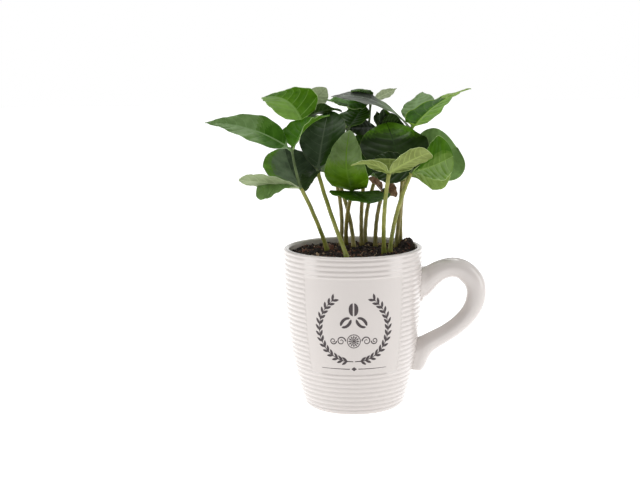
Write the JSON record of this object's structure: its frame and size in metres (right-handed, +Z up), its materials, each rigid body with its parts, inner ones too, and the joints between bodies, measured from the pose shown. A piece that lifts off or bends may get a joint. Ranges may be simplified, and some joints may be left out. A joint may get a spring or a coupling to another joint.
{
  "type": "coffee seedlings in a mug",
  "caption": "Slender young coffee plants with round seed leaves and pointed true leaves, growing in soil in a ribbed white mug with a half-heart handle.",
  "frame": {"origin": "centre of the mug's flat underside", "axes": "+Z up, +X towards the handle, -Y towards the smooth panel on the mug's front"},
  "size_m": [0.1801, 0.1285, 0.2068],
  "materials": {
    "white_glaze": "glossy warm white glaze",
    "potting_soil": "rough, dark and crumbly",
    "green_stem": "smooth, satin, yellow green",
    "brown_stem": "smooth, satin, olive brown",
    "coffee_leaf": "glossy green blade with pale veins",
    "dry_husk": "papery and dry"
  },
  "bodies": {
    "root": {"mug_body": "white_glaze", "mug_handle": "white_glaze", "soil": "potting_soil", "stem_01": "green_stem", "stem_02": "green_stem", "stem_03": "brown_stem", "stem_04": "brown_stem", "stem_05": "brown_stem", "stem_06": "brown_stem", "stem_07": "brown_stem", "stem_08": "brown_stem", "stem_09": "green_stem", "stem_10": "green_stem", "stem_11": "brown_stem", "stem_12": "brown_stem", "crown_01": "coffee_leaf", "crown_02": "coffee_leaf", "crown_03": "coffee_leaf", "crown_04": "coffee_leaf", "crown_05": "coffee_leaf", "crown_06": "coffee_leaf", "crown_07": "coffee_leaf", "crown_08": "dry_husk", "crown_09": "coffee_leaf", "crown_10": "coffee_leaf", "crown_11": "coffee_leaf", "crown_12": "coffee_leaf"}
  },
  "joints": []
}
